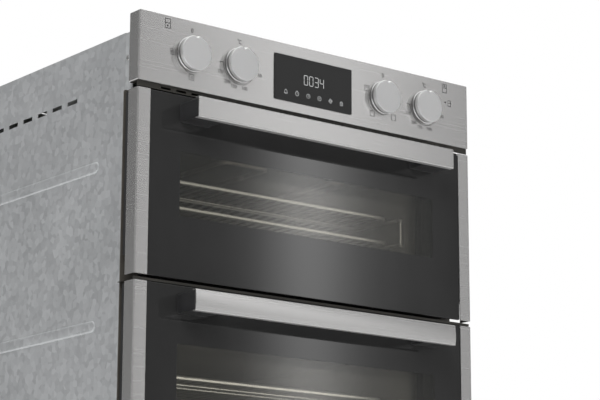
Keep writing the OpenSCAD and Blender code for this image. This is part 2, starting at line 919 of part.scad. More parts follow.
module main_door_glass() {
    piece(black) door_glass(main_door_z0, main_door_z1);
}

module main_door_trims() {
    piece(steel) door_trims(main_door_z0, main_door_z1);
}

module main_door_frame() {
    piece(black) door_frame(main_door_z0, main_door_z1, main_cavity_z0 + 20, main_cavity_z1 - 26);
}

module main_inner_glass() {
    piece("#5a5f62") inner_glass(main_cavity_z0 - 18, main_cavity_z1 + 17);
}

module main_handle_bar() {
    handle_bar(main_door_z1 - handle_drop);
}

module main_handle_posts() {
    handle_posts(main_door_z1 - handle_drop);
}

module main_hinge_arms() {
    hinge_arms(main_hinge_z);
}

base_panel();
side_panel_left();
side_panel_right();
back_panel();
top_cover();
front_frame();
bottom_trim();
control_panel();
display_glass();
timer_module();
control_bracket();
function_switches();
thermostats();
air_duct();
blower_housing();
blower_wheel();
top_cavity();
main_cavity();
top_insulation();
main_insulation();
top_side_racks();
main_side_racks();
top_upper_shelf();
top_lower_shelf();
main_shelf();
grill_pan();
grill_element();
base_element();
ring_element();
fan_cover();
convection_fan();
fan_motor();
lamp_holders();
lamp_lenses();
top_door_seal();
main_door_seal();
hinge_brackets();
hinge_receivers();
terminal_block();
cable_gland();
frame_screws();
gap_strips();
top_door_glass();
top_door_trims();
top_door_frame();
top_inner_glass();
top_handle_bar();
top_handle_posts();
top_hinge_arms();
main_door_glass();
main_door_trims();
main_door_frame();
main_inner_glass();
main_handle_bar();
main_handle_posts();
main_hinge_arms();
knob_top_function();
knob_top_temperature();
knob_main_function();
knob_main_temperature();
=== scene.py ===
"""Looks of the built-in double wall oven: materials, pieces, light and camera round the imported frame."""

import math

import bmesh
import bpy
from mathutils import Matrix, Vector


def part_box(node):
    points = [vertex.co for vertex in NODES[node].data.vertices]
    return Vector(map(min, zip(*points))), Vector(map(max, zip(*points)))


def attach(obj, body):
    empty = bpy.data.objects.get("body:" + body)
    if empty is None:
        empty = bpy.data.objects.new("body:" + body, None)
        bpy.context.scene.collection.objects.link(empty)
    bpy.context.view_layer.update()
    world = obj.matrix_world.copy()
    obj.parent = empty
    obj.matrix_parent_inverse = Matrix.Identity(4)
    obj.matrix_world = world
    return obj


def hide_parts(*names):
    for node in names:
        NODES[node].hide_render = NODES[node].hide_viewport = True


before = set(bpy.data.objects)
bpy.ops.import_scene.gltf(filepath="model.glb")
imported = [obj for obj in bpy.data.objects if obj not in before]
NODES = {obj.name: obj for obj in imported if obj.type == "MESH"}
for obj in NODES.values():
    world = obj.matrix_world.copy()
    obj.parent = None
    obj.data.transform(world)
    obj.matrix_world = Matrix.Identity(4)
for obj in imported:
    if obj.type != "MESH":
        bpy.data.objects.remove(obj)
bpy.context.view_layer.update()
MM = 0.001
FRONT_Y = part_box("control_panel")[0].y
CORNER_STEPS = 6


def at(x, y, z):
    """A point in metres from mm: x from the middle, y back from the front plane, z up from the base."""
    return Vector((x * MM, FRONT_Y + y * MM, z * MM))


# ---- Materials ----


class Tree:
    """A material's node tree, with short calls for the nodes used here."""

    def __init__(self, name):
        self.mat = bpy.data.materials.new(name)
        self.mat.use_nodes = True
        self.nt = self.mat.node_tree
        self.nt.nodes.clear()
        self.out = self.nt.nodes.new("ShaderNodeOutputMaterial")
        self.coords = self.nt.nodes.new("ShaderNodeTexCoord").outputs["Object"]

    def node(self, kind, inputs=None, **settings):
        n = self.nt.nodes.new("ShaderNode" + kind)
        for key, value in settings.items():
            setattr(n, key, value)
        for key, value in (inputs or {}).items():
            if isinstance(value, bpy.types.NodeSocket):
                self.nt.links.new(value, n.inputs[key])
            else:
                n.inputs[key].default_value = value
        return n

    def scaled(self, scale):
        return self.node("Mapping", {"Vector": self.coords, "Scale": scale}).outputs[0]

    def noise(self, scale, detail=3.0, rough=0.5, vector=None):
        """Noise, its value 0 to 1, over the object's coordinates stretched by scale."""
        v = self.scaled(scale) if vector is None else vector
        inputs = {"Vector": v, "Scale": 1.0, "Detail": detail, "Roughness": rough}
        return self.node("TexNoise", inputs).outputs[0]

    def voronoi(self, scale, out="Distance"):
        """Distance to the nearest of scattered points, or another output of that node."""
        return self.node("TexVoronoi", {"Vector": self.scaled(scale), "Scale": 1.0}).outputs[out]

    def ramp(self, value, lo, hi, out_lo, out_hi, smooth=False):
        kind = "SMOOTHSTEP" if smooth else "LINEAR"
        return self.node(
            "MapRange",
            {"Value": value, "From Min": lo, "From Max": hi, "To Min": out_lo, "To Max": out_hi},
            interpolation_type=kind,
        ).outputs[0]

    def math(self, op, a, b=0.0):
        return self.node("Math", {0: a, 1: b}, operation=op).outputs[0]

    def mix(self, fac, a, b):
        n = self.node("Mix", data_type="RGBA")
        for index, value in ((0, fac), (6, a), (7, b)):
            if isinstance(value, bpy.types.NodeSocket):
                self.nt.links.new(value, n.inputs[index])
            else:
                n.inputs[index].default_value = value if index == 0 else (*value, 1.0)
        return n.outputs[2]

    def bump(self, height, strength, distance):
        return self.node("Bump", {"Height": height, "Strength": strength, "Distance": distance}).outputs[0]

    def principled(self, **inputs):
        """The surface's main shader; underscores in the names stand for spaces."""
        return self.node("BsdfPrincipled", {k.replace("_", " "): v for k, v in inputs.items()})

    def done(self, shader):
        self.nt.links.new(shader.outputs[0], self.out.inputs[0])
        return self.mat


def grey(v, warm=0.0):
    return (v * (1 + warm), v, v * (1 - warm))


def brushed(name, value, rough, metallic=0.86):
    """Steel brushed from left to right: long fine streaks in tone, gloss and relief."""
    t = Tree(name)
    warm = 0.01
    fine = t.noise((5, 1500, 1500), 4.0, 0.6)
    broad = t.noise((0.8, 480, 480), 2.0, 0.5)
    both = t.math("ADD", t.math("MULTIPLY", fine, 0.7), t.math("MULTIPLY", broad, 0.3))
    dark, light = grey(value * 0.965, warm), grey(min(value * 1.035, 0.95), warm)
    colour = t.mix(t.ramp(both, 0.3, 0.7, 0, 1), dark, light)
    grain = t.node("CombineXYZ", {0: 0.01, 1: 0.02, 2: 1.0}).outputs[0]
    return t.done(
        t.principled(
            Base_Color=colour,
            Metallic=metallic,
            Roughness=t.ramp(both, 0.3, 0.7, rough - 0.006, rough + 0.006),
            Anisotropic=0.8,
            Tangent=grain,
            Normal=t.bump(fine, 0.003, 0.00006),
        )
    )


def turned(name, value, rough, metallic=1.0):
    """Satin metal turned on a lathe round its own Y axis."""
    t = Tree(name)
    ring = 0.00045
    xyz = t.node("SeparateXYZ", {0: t.coords})
    x, z = xyz.outputs[0], xyz.outputs[2]
    radius = t.math("SQRT", t.math("ADD", t.math("MULTIPLY", x, x), t.math("MULTIPLY", z, z)))
    rings = t.noise(None, 4.0, 0.6, t.node("CombineXYZ", {0: t.math("DIVIDE", radius, ring)}).outputs[0])
    blotch = t.noise((60, 60, 60), 2.0)
    colour = t.mix(t.ramp(rings, 0.3, 0.7, 0, 1), grey(value * 0.95), grey(min(value * 1.05, 0.97)))
    return t.done(
        t.principled(
            Base_Color=colour,
            Metallic=metallic,
            Roughness=t.math(
                "ADD", t.ramp(rings, 0.3, 0.7, rough - 0.03, rough + 0.03), t.ramp(blotch, 0, 1, -0.02, 0.02)
            ),
            Normal=t.bump(rings, 0.05, 0.00003),
        )
    )


def zinc():
    """Galvanised sheet: soft-edged crystal patches that differ a little in tone and gloss."""
    t = Tree("zinc_sheet_look")
    tone = t.node("SeparateColor", {0: t.voronoi((120, 120, 120), "Color")}).outputs[0]
    cloud = t.noise((8, 8, 8), 4.0)
    both = t.math("ADD", t.math("MULTIPLY", tone, 0.45), t.math("MULTIPLY", cloud, 0.55))
    return t.done(
        t.principled(
            Base_Color=t.mix(t.ramp(both, 0.2, 0.8, 0, 1), (0.58, 0.595, 0.605), (0.72, 0.735, 0.745)),
            Metallic=0.7,
            Roughness=t.ramp(both, 0.2, 0.8, 0.42, 0.55),
            Normal=t.bump(t.noise((260, 260, 260), 3.0), 0.08, 0.0001),
        )
    )


def paint(name, colour, rough, pore=700.0, relief=0.1, lift=1.25, metallic=0.0):
    """A coating or moulding with a fine pebbled skin."""
    t = Tree(name)
    skin = t.noise((pore, pore, pore), 3.0)
    wear = t.noise((14, 14, 14), 4.0)
    dark, light = tuple(c / lift for c in colour), tuple(min(c * lift, 1) for c in colour)
    tone = t.mix(t.ramp(wear, 0.3, 0.7, 0, 1), dark, light)
    return t.done(
        t.principled(
            Base_Color=tone,
            Metallic=metallic,
            Roughness=t.math(
                "ADD", t.ramp(skin, 0.3, 0.7, rough - 0.04, rough + 0.04), t.ramp(wear, 0.3, 0.7, -0.03, 0.03)
            ),
            Normal=t.bump(skin, relief, 0.0001),
        )
    )


def enamel():
    """Dark vitreous enamel with pale flecks and a wavy fired surface."""
    t = Tree("enamel_look")
    near = t.voronoi((420, 420, 420))
    fleck = t.ramp(near, 0.10, 0.2, 1, 0, smooth=True)
    sparse = t.ramp(t.noise((160, 160, 160), 2.0), 0.5, 0.6, 0, 1)
    base = t.mix(t.noise((20, 20, 20), 3.0), (0.115, 0.113, 0.105), (0.155, 0.152, 0.142))
    return t.done(
        t.principled(
            Base_Color=t.mix(t.math("MULTIPLY", fleck, sparse), base, (0.33, 0.35, 0.38)),
            Roughness=t.ramp(near, 0, 0.6, 0.16, 0.26),
            Normal=t.bump(t.noise((60, 60, 60), 3.0), 0.03, 0.0003),
        )
    )


def wire():
    """Chromed steel wire, faintly drawn along its length, a little dulled by heat."""
    t = Tree("chromed_wire_look")
    haze = t.noise((120, 120, 120), 4.0)
    return t.done(
        t.principled(
            Base_Color=t.mix(haze, (0.62, 0.62, 0.59), (0.72, 0.72, 0.69)),
            Metallic=1.0,
            Roughness=t.ramp(haze, 0.3, 0.7, 0.34, 0.46),
            Normal=t.bump(t.noise((900, 900, 900), 2.0), 0.05, 0.00005),
        )
    )


def heater():
    """Heating tube's sheath: matt, brown-grey, blotched by heat."""
    t = Tree("heater_look")
    scorch = t.noise((45, 45, 45), 5.0, 0.6)
    return t.done(
        t.principled(
            Base_Color=t.mix(t.ramp(scorch, 0.35, 0.65, 0, 1), (0.22, 0.20, 0.17), (0.42, 0.40, 0.37)),
            Metallic=0.8,
            Roughness=t.ramp(scorch, 0.3, 0.7, 0.42, 0.6),
            Normal=t.bump(t.noise((1200, 1200, 1200), 2.0), 0.15, 0.00005),
        )
    )


def wool():
    t = Tree("mineral_wool_look")
    fibre = t.noise((90, 420, 420), 6.0, 0.7)
    tuft = t.noise((35, 35, 35), 4.0)
    both = t.math("ADD", t.math("MULTIPLY", fibre, 0.5), t.math("MULTIPLY", tuft, 0.5))
    return t.done(
        t.principled(
            Base_Color=t.mix(t.ramp(both, 0.3, 0.7, 0, 1), (0.36, 0.31, 0.20), (0.66, 0.61, 0.46)),
            Roughness=t.ramp(tuft, 0, 1, 0.88, 1.0),
            Sheen_Weight=0.2,
            Normal=t.bump(both, 0.9, 0.0022),
        )
    )


def black_glass(name="black_glass_look", tone=0.027, rough=0.03):
    """Glass printed black on its back: a deep gloss with the faintest roll wave."""
    t = Tree(name)
    wave = t.noise((5, 5, 3), 1.0)
    film = t.noise((30, 30, 14), 4.0)
    return t.done(
        t.principled(
            Base_Color=t.mix(film, grey(tone * 0.9), grey(tone * 1.1)),
            Roughness=t.ramp(film, 0.3, 0.7, rough - 0.012, rough + 0.012),
            IOR=1.5,
            Normal=t.bump(wave, 0.04, 0.0004),
        )
    )


def clear(name, tint, dots=0.0, gloss=0.035):
    """A pane that shows what is behind it, dimmed by tint, under the glass's own gloss.
    dots is how much of it a fine printed dot screen covers."""
    t = Tree(name)
    film = t.noise((24, 24, 10), 4.0)
    tone = t.mix(film, tuple(c * 0.94 for c in tint), tint)
    through = t.node("BsdfTransparent", {"Color": tone})
    if dots:
        pitch = 1 / 0.0021
        turned_45 = {"Vector": t.coords, "Scale": (pitch, 0.0, pitch), "Rotation": (0, math.pi / 4, 0)}
        square = t.node("Mapping", turned_45).outputs[0]
        cell = t.node("TexVoronoi", {"Vector": square, "Scale": 1.0, "Randomness": 0.0}).outputs["Distance"]
        spot = t.ramp(cell, 0.22, 0.32, 1, 0, smooth=True)
        veil = t.node("MixShader", {0: t.math("MULTIPLY", spot, dots)})
        t.nt.links.new(through.outputs[0], veil.inputs[1])
        t.nt.links.new(t.node("BsdfDiffuse", {"Color": (0.14, 0.143, 0.135, 1)}).outputs[0], veil.inputs[2])
        through = veil
    shine = t.node("BsdfGlossy", {"Color": (1, 1, 1, 1), "Roughness": gloss})
    facing = t.node("LayerWeight", {"Blend": 0.5}).outputs["Facing"]
    share = t.math("ADD", t.math("MULTIPLY", t.math("POWER", facing, 5.0), 0.9), 0.045)
    both = t.node("MixShader", {0: share})
    t.nt.links.new(through.outputs[0], both.inputs[1])
    t.nt.links.new(shine.outputs[0], both.inputs[2])
    return t.done(both)


def ink(name, colour, rough=0.45, glow=0.0):
    """Screen print: flat colour with a little uneven cover."""
    t = Tree(name)
    cover = t.noise((900, 900, 900), 3.0)
    tone = t.mix(cover, tuple(c * 0.85 for c in colour), colour)
    return t.done(
        t.principled(
            Base_Color=tone,
            Roughness=t.ramp(cover, 0, 1, rough - 0.05, rough + 0.05),
            Emission_Color=(*colour, 1.0),
            Emission_Strength=glow,
        )
    )


STEEL = brushed("brushed_steel_look", 0.60, 0.27)
CAP = turned("knob_cap_look", 0.92, 0.42, metallic=0.85)
COLLAR = turned("knob_collar_look", 0.82, 0.2)
# The handles' undersides: a duller, more diffuse copy of the steel, so they read lighter than the bar's steel
# would there; painted light on the underside.
LIT_UNDERSIDE = brushed("handle_underside_painted_light_look", 0.42, 0.4, metallic=0.35)
# Knob waists: dark metal at under half the cap's tone, which paints shade in the groove between collar and
# cap.
WAIST_SHADE = turned("knob_waist_shade_look", 0.42, 0.3)
# The scallop on each knob: a lighter, glossier copy of the cap's metal, which paints the scallop's highlight.
NOTCH_HIGHLIGHT = turned("knob_notch_highlight_look", 0.96, 0.12)
ZINC = zinc()
PAINT = paint("black_paint_look", (0.022, 0.022, 0.023), 0.38)
FRAME_PAINT = paint("front_frame_look", (0.085, 0.078, 0.068), 0.42)
# Near-black paint for the strips in the gaps above the doors, dark enough that it also paints the shade
# inside the gaps.
GAP_SHADE_PAINT = paint("gap_strips_shade_look", (0.028, 0.026, 0.022), 0.5)
ENAMEL = enamel()
WIRE = wire()
HEATER = heater()
WOOL = wool()
RUBBER = paint("black_rubber_look", (0.016, 0.016, 0.017), 0.62, 500, 0.2)
PLASTIC = paint("black_plastic_look", (0.028, 0.028, 0.029), 0.3, 1500, 0.05)
PALE = paint("pale_plastic_look", (0.70, 0.67, 0.60), 0.42, 1200, 0.08, 1.06)
FAN = paint("fan_metal_look", (0.50, 0.51, 0.52), 0.4, 500, 0.1, 1.12, 1.0)
GLASS = black_glass()
DISPLAY = black_glass("display_glass_look", 0.02, 0.4)
WINDOW = clear("window_look", (0.60, 0.59, 0.57), dots=0.6)
INNER = clear("inner_glass_look", (0.97, 0.965, 0.95))
LENS = clear("lamp_glass_look", (0.9, 0.9, 0.88), gloss=0.12)
PRINT = ink("panel_print_look", (0.006, 0.006, 0.0065), 0.6)
DIGITS = ink("display_print_look", (0.55, 0.56, 0.56), glow=0.15)

SLOT_LOOKS = {
    "brushed_steel": STEEL,
    "knob_steel": CAP,
    "zinc_sheet": ZINC,
    "black_paint": PAINT,
    "black_glass": GLASS,
    "clear_glass": INNER,
    "enamel": ENAMEL,
    "chromed_wire": WIRE,
    "heater": HEATER,
    "mineral_wool": WOOL,
    "black_rubber": RUBBER,
    "black_plastic": PLASTIC,
    "pale_plastic": PALE,
    "fan_metal": FAN,
    "lamp_glass": LENS,
}
NODE_LOOKS = {"front_frame": FRAME_PAINT, "gap_strips": GAP_SHADE_PAINT}

for node_name, node in NODES.items():
    for index, material in enumerate(node.data.materials):
        node.data.materials[index] = NODE_LOOKS.get(node_name) or SLOT_LOOKS[material.name.split(".")[0]]


# ---- Mesh helpers ----


def new_piece(name, bm, looks, body, smooth=True, nodes=()):
    """Turns a bmesh in metres into a piece that rides on a body and stands for the named nodes."""
    bmesh.ops.recalc_face_normals(bm, faces=bm.faces)
    mesh = bpy.data.meshes.new(name)
    bm.to_mesh(mesh)
    bm.free()
    for look in looks:
        mesh.materials.append(look)
    for p in mesh.polygons:
        p.use_smooth = smooth
    obj = bpy.data.objects.new(name, mesh)
    bpy.context.scene.collection.objects.link(obj)
    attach(obj, body)
    if nodes:
        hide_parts(*nodes)
    return obj


def sharp_by_angle(obj, degrees):
    """Shades smoothly except across corners sharper than the angle."""
    bm = bmesh.new()
    bm.from_mesh(obj.data)
    for e in bm.edges:
        e.smooth = len(e.link_faces) == 2 and e.calc_face_angle(0.0) < math.radians(degrees)
    bm.to_mesh(obj.data)
    bm.free()


def face_normals(obj):
    """Lets the large flat faces set the shading, so that narrow rounded edges don't bend it."""
    m = obj.modifiers.new("normals", "WEIGHTED_NORMAL")
    m.keep_sharp = True
    m.weight = 90
    return obj


def bevelled(obj, width):
    """Rounds the corners of an object over width mm."""
    m = obj.modifiers.new("edges", "BEVEL")
    m.width = width * MM
    m.segments = 2
    m.limit_method = "ANGLE"
    m.angle_limit = math.radians(35)
    return face_normals(obj)


def round_loop(hw, z0, z1, r):
    """Points (x, z) round a rounded rectangle, counterclockwise from its lower right corner."""
    pts = []
    corners = ((hw - r, z0 + r, -90), (hw - r, z1 - r, 0), (-hw + r, z1 - r, 90), (-hw + r, z0 + r, 180))
    for cx, cz, start in corners:
        for k in range(CORNER_STEPS + 1):
            a = math.radians(start + 90 * k / CORNER_STEPS)
            pts.append((cx + r * math.cos(a), cz + r * math.sin(a)))
    return pts


def bridge(bm, rows):
    """Joins each loop of vertices to the next by a band of faces."""
    n = len(rows[0])
    for a, b in zip(rows, rows[1:]):
        for i in range(n):
            bm.faces.new((a[i], a[(i + 1) % n], b[(i + 1) % n], b[i]))


def skin(bm, loops):
    """Joins equal loops of 3-D points in mm by faces, and caps the first and last."""
    rows = [[bm.verts.new(at(*p)) for p in loop] for loop in loops]
    bridge(bm, rows)
    bm.faces.new(rows[0])
    bm.faces.new(rows[-1])


# ---- Doors ----


def door_pane(name, body, node, hw, z0, z1, win_hw, win_z0, win_z1):
    """One glass sheet, printed black except for its window, with pencil-rounded edges."""
    lo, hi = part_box(node)
    y0, y1 = (lo.y - FRONT_Y) / MM, (hi.y - FRONT_Y) / MM
    e, pane_corner, window_corner = 0.7, 1.6, 2.5
    bm = bmesh.new()

    def outer(inset, y):
        return [(x, y, z) for x, z in round_loop(hw - inset, z0 + inset, z1 - inset, pane_corner)]

    def inner(y):
        return [(x, y, z) for x, z in round_loop(win_hw, win_z0, win_z1, window_corner)]

    edge = [
        outer(e, y0), outer(e * 0.3, y0 + e * 0.3), outer(0, y0 + e),
        outer(0, y1 - e), outer(e * 0.3, y1 - e * 0.3), outer(e, y1),
    ]
    skin(bm, [inner(y0), *edge, inner(y1)])
    for f in bm.faces:
        if len(f.verts) > 4:
            front = f.calc_center_median().y < (lo.y + hi.y) / 2
            f.material_index = 1 if front else 2
    pane = new_piece(name, bm, [GLASS, WINDOW, INNER], body, True, [node])
    sharp_by_angle(pane, 60)
    return face_normals(pane)


def z_range(node):
    lo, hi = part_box(node)
    return lo.z / MM, hi.z / MM


top_z0, top_z1 = z_range("top_door_glass")
main_z0, main_z1 = z_range("main_door_glass")
glass_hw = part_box("top_door_glass")[1].x / MM
WINDOW_TOP = 77
door_pane(
    "top_door_pane", "top_door", "top_door_glass", glass_hw, top_z0, top_z1,
    225.6, top_z0 + 85.5, top_z1 - WINDOW_TOP,
)
door_pane(
    "main_door_pane", "main_door", "main_door_glass", glass_hw, main_z0, main_z1,
    226, main_z0 + 105, main_z1 - WINDOW_TOP,
)
POST_WIDTH = 47.5


def handle(door, body, crown):
    """A folded steel bar on two black posts. The bar's face bulges by crown mm between its long edges."""
    lo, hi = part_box(door + "_handle_bar")
    x1, z0, z1 = hi.x / MM, lo.z / MM, hi.z / MM
    y0, y1 = (lo.y - FRONT_Y) / MM, (hi.y - FRONT_Y) / MM
    t, r, fillet = 1.6, 1.6, 0.8
    outline = []
    for cy, cz, start in ((y0 + crown + r, z1 - r, 90), (y0 + crown + r, z0 + r, 180)):
        for k in range(7):
            a = math.radians(start + 15 * k)
            outline.append((cy + r * math.cos(a), cz + r * math.sin(a)))
        if start == 90 and crown:
            for u in (0.8, 0.6, 0.4, 0.2, 0, -0.2, -0.4, -0.6, -0.8):
                outline.append((y0 + crown * u * u, (z0 + z1) / 2 + u * ((z1 - z0) / 2 - r)))
    back = y0 + crown + t
    outline += [(y1, z0), (y1, z0 + t), (back + fillet, z0 + t), (back, z0 + t + fillet)]
    outline += [(back, z1 - t - fillet), (back + fillet, z1 - t), (y1, z1 - t), (y1, z1)]
    bm = bmesh.new()
    skin(bm, [[(x, y, z) for y, z in outline] for x in (-x1, x1)])
    bmesh.ops.recalc_face_normals(bm, faces=bm.faces)
    # Faces turned downwards take the underside look, which paints light onto the bar's underside.
    for f in bm.faces:
        f.material_index = int(f.normal.z < -0.7)
    bar = new_piece(
        door + "_handle_rail", bm, [STEEL, LIT_UNDERSIDE], body, True, [door + "_handle_bar"]
    )
    bevelled(bar, 0.3)
    lo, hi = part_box(door + "_handle_posts")
    y0, y1, z0, z1 = (lo.y - FRONT_Y) / MM, (hi.y - FRONT_Y) / MM, lo.z / MM, hi.z / MM
    bm = bmesh.new()
    for side in (-1, 1):
        a, b = sorted((side * hi.x / MM, side * (hi.x / MM - POST_WIDTH)))
        foot = y1 - 2.5
        levels = ((0, y0), (0, foot - 0.8), (0.5, foot - 0.3), (0.5, foot), (0, foot + 0.2), (0, y1))
        loops = [(round_loop((b - a) / 2 - i, z0 + i, z1 - i, 2.4), y) for i, y in levels]
        skin(bm, [[(x + (a + b) / 2, y, z) for x, z in loop] for loop, y in loops])
    posts = new_piece(
        door + "_handle_mounts", bm, [PLASTIC], body, True, [door + "_handle_posts"]
    )
    sharp_by_angle(posts, 30)
    bevelled(posts, 0.4)


handle("top", "top_door", 0.0)
handle("main", "main_door", 1.2)


# ---- Controls ----


def knob(name):
    """Collar, waist and cap turned as one, with a scalloped mark at twelve o'clock whose brightness is a
    painted highlight.
    """
    lo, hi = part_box(name)
    collar, out = (hi.x - lo.x) / 2 / MM, (FRONT_Y - lo.y) / MM
    r = collar - 0.8
    # Profile points are (radius, depth, look): look 0 is the waist, painted dark as shade in the groove; 1
    # the collar; 2 the cap.
    profile = [
        (0, 1.2, 1), (collar - 1.2, 1.2, 1), (collar - 0.5, 1.35, 1), (collar - 0.1, 1.8, 1),
        (collar, 2.3, 1), (collar, 2.8, 1), (collar - 0.15, 3.3, 1), (collar - 0.5, 3.7, 1),
        (collar - 1.1, 3.95, 1),
        (r - 2.2, 4.2, 0), (r - 2.5, 4.6, 0), (r - 2.5, 5.6, 0), (r - 2.2, 6.1, 0), (r - 0.7, 6.6, 2),
        (r - 0.15, 6.9, 2), (r, 7.3, 2), (r, 8.6, 2), (r, out - 3.2, 2), (r, out - 2.2, 2),
        (r, out - 1.3, 2),
        (r - 0.1, out - 0.8, 2), (r - 0.35, out - 0.4, 2), (r - 0.75, out - 0.15, 2),
        (r - 1.3, out - 0.03, 2),
    ]
    profile += [(r - 1.9 - 0.55 * k, out, 2) for k in range(9)] + [(10.0, out, 2), (0, out, 2)]
    steps, cap_start = 192, 8
    notch_w, notch_h, notch_out = 4.0, 3.6, 5.0

    def notch(x, z, depth):
        """How deep in the scallop a point lies: 1 at its middle, below 0 outside."""
        below_cap = ((depth - out) / notch_out) ** 2 * 0.5
        return 1 - (x / notch_w) ** 2 - ((z - r - 0.4) / notch_h) ** 2 - below_cap

    bm = bmesh.new()
    rows = []
    for radius, depth, _ in profile:
        if radius == 0:
            rows.append([bm.verts.new((0, -depth * MM, 0))])
            continue
        row = []
        for k in range(steps):
            a = 2 * math.pi * k / steps
            x, z = radius * math.cos(a), radius * math.sin(a)
            d = depth
            cut = notch(x, z, depth)
            if depth > cap_start and cut > 0:
                d = depth - 1.7 * cut**0.8
                z -= 0.5 * cut
            row.append(bm.verts.new((x * MM, -d * MM, z * MM)))
        rows.append(row)
    for (a, b), (_, depth, look) in zip(zip(rows, rows[1:]), profile[1:]):
        for k in range(steps):
            ring = [a[k % len(a)], a[(k + 1) % len(a)], b[(k + 1) % len(b)], b[k % len(b)]]
            face = []
            for v in ring:
                if v not in face:
                    face.append(v)
            f = bm.faces.new(face)
            middle = f.calc_center_median() / MM
            # Faces in the scallop take the lighter, glossier metal: the painted highlight.
            in_notch = depth > cap_start and notch(middle.x, middle.z, depth) > 0.12
            f.material_index = 3 if in_notch else look
    obj = new_piece(name + "_dial", bm, [WAIST_SHADE, COLLAR, CAP, NOTCH_HIGHLIGHT], name, True, [name])
    centre = (lo + hi) / 2
    obj.location = (centre.x, FRONT_Y, centre.z)
    sharp_by_angle(obj, 40)


for knob_name in ("knob_top_function", "knob_top_temperature", "knob_main_function", "knob_main_temperature"):
    knob(knob_name)


# ---- Sheet-metal detail on the housing ----


def raised(bm, place, across, up, w, h, r, levels):
    """A rounded rectangle w by h (mm) built up from a sheet: each level is an inset and a height above it."""
    away = across.cross(up)
    rows = []
    for inset, rise in levels:
        loop = round_loop(w / 2 - inset, inset - h / 2, h / 2 - inset, max(r - inset, 0.3))
        rows.append([bm.verts.new(at(*(place + across * a + up * b + away * rise))) for a, b in loop])
    bridge(bm, rows)
    bm.faces.new(rows[0])
    bm.faces.new(rows[-1])


def sheet_detail():
    """Stiffening beads, folded seams and screws on the sides, back and top."""
    sheet, screw = bmesh.new(), bmesh.new()
    screw_w, strip_w = 8.4, 16
    disc = (screw_w, screw_w, screw_w / 2)
    bead = ((0, -0.3), (0.2, 0.2), (1.2, 0.9), (3.0, 1.3))
    fold = ((0, -0.3), (0, 0.7), (0.3, 1.0))
    head = ((0, -0.3), (0, 0.9), (0.5, 1.5), (1.5, 1.9), (2.2, 1.9), (2.3, 1.0))
    seam, plate_x, plate_z = 9, 200, 780
    x, z1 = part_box("side_panel_right")[1].x / MM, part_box("top_cover")[1].z / MM
    y0, y1 = ((v - FRONT_Y) / MM for v in (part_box("side_panel_right")[0].y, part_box("back_panel")[1].y))
    right, back, up = Vector((1, 0, 0)), Vector((0, 1, 0)), Vector((0, 0, 1))
    for side in (1, -1):
        along = back * side
        for z in (227, 477, 697):
            raised(sheet, Vector((side * x, 290, z)), along, up, 340, strip_w, 7.9, bead)
        for y in (y0 + seam, y1 - seam):
            raised(sheet, Vector((side * x, y, z1 / 2)), along, up, strip_w, z1 - 12, 1.0, fold)
            for z in (40, 236, 432, 628, z1 - 40):
                raised(screw, Vector((side * (x + 1), y, z)), along, up, *disc, head)
        raised(sheet, Vector((side * 127, y1, 425)), -right, up, strip_w, 550, 7.9, bead)
        raised(sheet, Vector((side * (x - seam), y1, z1 / 2)), -right, up, strip_w, z1 - 12, 1.0, fold)
        for z in (60, 300, 540, z1 - 60):
            raised(screw, Vector((side * (x - seam), y1 + 1, z)), -right, up, *disc, head)
        for y in (y0 + 60, y1 - 14):
            raised(screw, Vector((side * (x - 14), y, z1)), right, back, *disc, head)
    raised(sheet, Vector((plate_x, y1, plate_z)), -right, up, 84, 50, 3.0, fold)
    for dx in (-34, 34):
        raised(screw, Vector((plate_x + dx, y1 + 1, plate_z)), -right, up, *disc, head)
    for name, bm, look, slot in (
        ("sheet_beads", sheet, ZINC, "zinc_sheet"), ("sheet_screws", screw, STEEL, "brushed_steel"),
    ):
        sharp_by_angle(new_piece(name, bm, [look], "housing"), 50)


sheet_detail()
for node_name in ("control_panel", "bottom_trim", "top_door_trims", "main_door_trims"):
    bevelled(NODES[node_name], 0.5)


# ---- Printed marks ----


